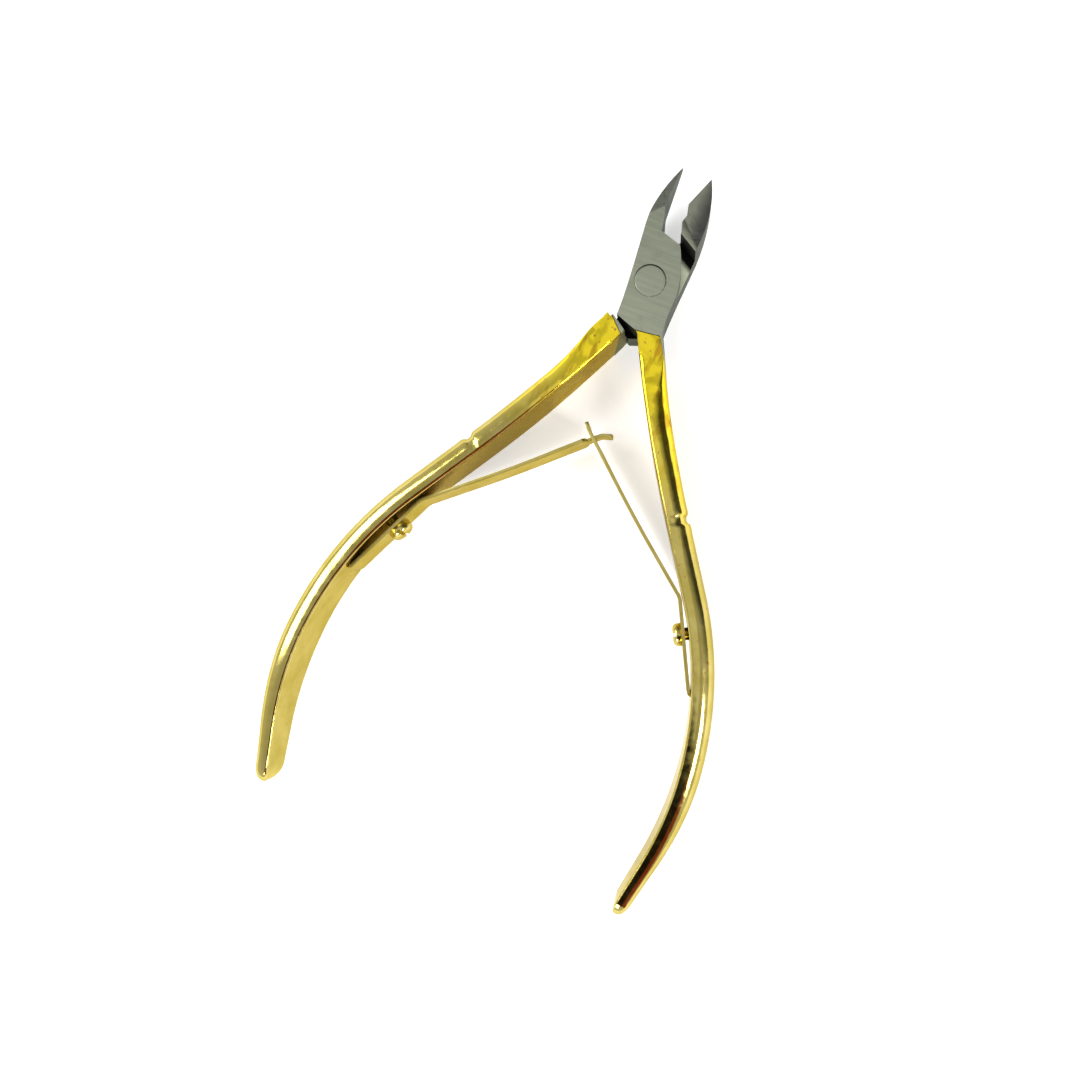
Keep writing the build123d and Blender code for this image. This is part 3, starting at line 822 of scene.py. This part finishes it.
def lap_wall_shadow_metal(name):
    """Painted shadow on the walls of the lap's recess: dull, nearly black steel."""
    m, nodes, links, bsdf, place = new_metal(name, 0.6)
    patch = noise(nodes, links, place, 900.0, 4.0)
    tint = mix_colour(nodes, links, patch, (0.004, 0.004, 0.004), (0.03, 0.032, 0.028))
    coat(nodes, links, bsdf, tint, ramp(nodes, links, patch, 0.3, 0.7, 0.5, 0.8), patch, WALL_RELIEF)
    return m


def paint(obj, material):
    """Makes a material the piece's only one."""
    obj.data.materials.clear()
    obj.data.materials.append(material)


# ---------------------------------------------------------------- the nipper

# The walls of the lap's recess get a near-black painted shadow.
lap_wall_shadow = lap_wall_shadow_metal("lap_wall_painted_shadow")
for side, body, node_name in ((1, "front", "front_half"), (-1, "rear", "rear_half")):
    metal = half_metal(f"{body}_half_steel_and_gold", side)
    # The forging's sides get a darker, shaded copy of the half's metal: painted shade.
    sides = half_metal(f"{body}_half_sides_painted_shade", side, SIDE_PAINTED_SHADE, SIDE_PAINTED_GLANCE)
    # The inner faces get a darker, duller copy of the half's metal: painted shade.
    inner = half_metal(f"{body}_inner_gold_painted_shade", side, SIDE_PAINTED_SHADE, inner=True)
    # The lap's floor gets painted light and shade.
    lap_floor = lap_floor_metal(f"{body}_lap_floor_steel_painted_light", side)
    # The jaw facets get painted light and shade.
    jaw = jaw_metal(f"{body}_jaw_facets_painted_shade", side)
    head_piece = head(side, node_name, f"{body}_head")
    handle_piece = handle(side, f"{body}_handle")
    for piece in (head_piece, handle_piece):
        paint(piece, metal)
        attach(piece, body)
        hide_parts(node_name)
    part_faces(head_piece, side, lap_wall_shadow, sides, lap_floor, jaw, inner)
    inner_faces(handle_piece, side, inner)

rivet = lathe("flush_rivet", *rivet_profile())
paint(rivet, rivet_metal("rivet_satin_steel"))
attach(rivet, "rear")
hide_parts("pivot_rivet")

spring_gold = gold_metal("spring_gold", 0.2)
screw_gold = gold_metal("screw_gold", 0.05)
for side, hand, body in ((1, "right", "front"), (-1, "left", "rear")):
    strip, bend_start, bend_end = spring(side, f"{hand}_leaf_spring", windowed=side > 0)
    paint(strip, spring_gold)
    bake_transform(strip)
    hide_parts(f"{hand}_spring_tail", f"{hand}_spring_leaf")
    screw = soften(merged_copy(f"{hand}_spring_screw", f"{hand}_screw"), 0.06, angle=40)
    paint(screw, screw_gold)
    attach(screw, body)
    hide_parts(f"{hand}_spring_screw")


# ---------------------------------------------------------------- stage, light and camera

def pale_floor():
    """Plain pale floor that glows a little, just under the nipper."""
    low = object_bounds()[0]
    floor = put_in_mesh("floor", [(-2, -2, low[2]), (2, -2, low[2]), (2, 2, low[2]), (-2, 2, low[2])],
                        [[0, 1, 2, 3]], smooth=False)
    m, nodes, links, bsdf = new_material("pale_floor")
    bsdf.inputs["Base Color"].default_value = (0.75, 0.75, 0.75, 1)
    bsdf.inputs["Roughness"].default_value = 0.8
    bsdf.inputs["Specular IOR Level"].default_value = 0.1
    bsdf.inputs["Emission Color"].default_value = (1, 1, 1, 1)
    bsdf.inputs["Emission Strength"].default_value = 0.52
    paint(floor, m)
    floor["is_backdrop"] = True


def between(nodes, links, value, low, high, soft=0.05):
    """1 between low and high and 0 outside them, with soft ends on the inner side."""
    return work_out(nodes, links, "MULTIPLY", ramp(nodes, links, value, low, low + soft),
                    ramp(nodes, links, value, high, high - soft))


def sky():
    """Soft sky, a little darker overhead and dark beyond the jaws, with panels marked off by their X and Y: a
    brighter one from overhead towards the jaws, and a dark red and a black one towards the handles."""
    world = bpy.data.worlds.new("studio")
    bpy.context.scene.world = world
    world.use_nodes = True
    nodes, links = world.node_tree.nodes, world.node_tree.links
    nodes.clear()
    split = node(nodes, "ShaderNodeSeparateXYZ")
    links.new(node(nodes, "ShaderNodeTexCoord").outputs["Generated"], split.inputs[0])
    across, along = split.outputs["X"], split.outputs["Y"]

    def panel(left, right, near, far):
        """Part of the sky between two values of X and two of Y."""
        return work_out(nodes, links, "MULTIPLY", between(nodes, links, across, left, right),
                        between(nodes, links, along, near, far))

    shade = ramp(nodes, links, split.outputs["Z"], 0.25, 0.85, 0.80, 0.52)
    wall = work_out(nodes, links, "ADD", along, work_out(nodes, links, "MULTIPLY", across, 0.3))
    wall_shade = ramp(nodes, links, wall, 0.45, 0.72, 1.0, 0.10)
    shade = work_out(nodes, links, "MULTIPLY", shade, wall_shade)
    bright = work_out(nodes, links, "MULTIPLY", panel(-0.26, 0.40, -0.15, 0.36), 0.7)
    shade = work_out(nodes, links, "MULTIPLY", shade, work_out(nodes, links, "ADD", 1.0, bright))
    colour = mix_colour(nodes, links, panel(0.50, 0.85, -0.75, -0.10), (1.0, 1.0, 1.0), (0.45, 0.07, 0.05))
    colour = mix_colour(nodes, links, panel(-0.16, 0.56, -0.75, -0.10), colour, (0.03, 0.02, 0.02))
    back = node(nodes, "ShaderNodeBackground")
    links.new(colour, back.inputs["Color"])
    links.new(shade, back.inputs["Strength"])
    links.new(back.outputs[0], node(nodes, "ShaderNodeOutputWorld").inputs[0])


def lamps():
    """Three square lamps, all turned to the nipper's middle."""
    middle = Vector((0, -0.03, 0))
    for name, spot, size, power in (
        ("key", (-0.36, -0.05, 0.28), 0.26, 1.6),
        ("fill", (0.36, -0.08, 0.24), 0.12, 1.1),
        ("rim", (0.02, -0.42, 0.22), 0.14, 0.9),
    ):
        lamp = bpy.data.lights.new(name, "AREA")
        lamp.shape = "SQUARE"
        lamp.size = size
        lamp.energy = power
        obj = bpy.data.objects.new(name, lamp)
        bpy.context.scene.collection.objects.link(obj)
        obj.location = spot
        obj.rotation_euler = (middle - Vector(spot)).to_track_quat("-Z", "Y").to_euler()


def camera():
    """Close straight-down camera, turned so that the nipper leans to the right."""
    data = bpy.data.cameras.new("camera")
    data.lens = 26.0
    data.sensor_width = 36.0
    data.shift_x, data.shift_y = -0.1157, 0.0556
    data.clip_start, data.clip_end = 0.01, 10.0
    obj = bpy.data.objects.new("camera", data)
    bpy.context.scene.collection.objects.link(obj)
    obj.location = (18.1 * MM, -42.0 * MM, 117.9 * MM)
    obj.rotation_euler = (0, 0, radians(20.67))
    bpy.context.scene.camera = obj


pale_floor()
sky()
lamps()
camera()
bpy.context.scene.view_settings.view_transform = "Standard"
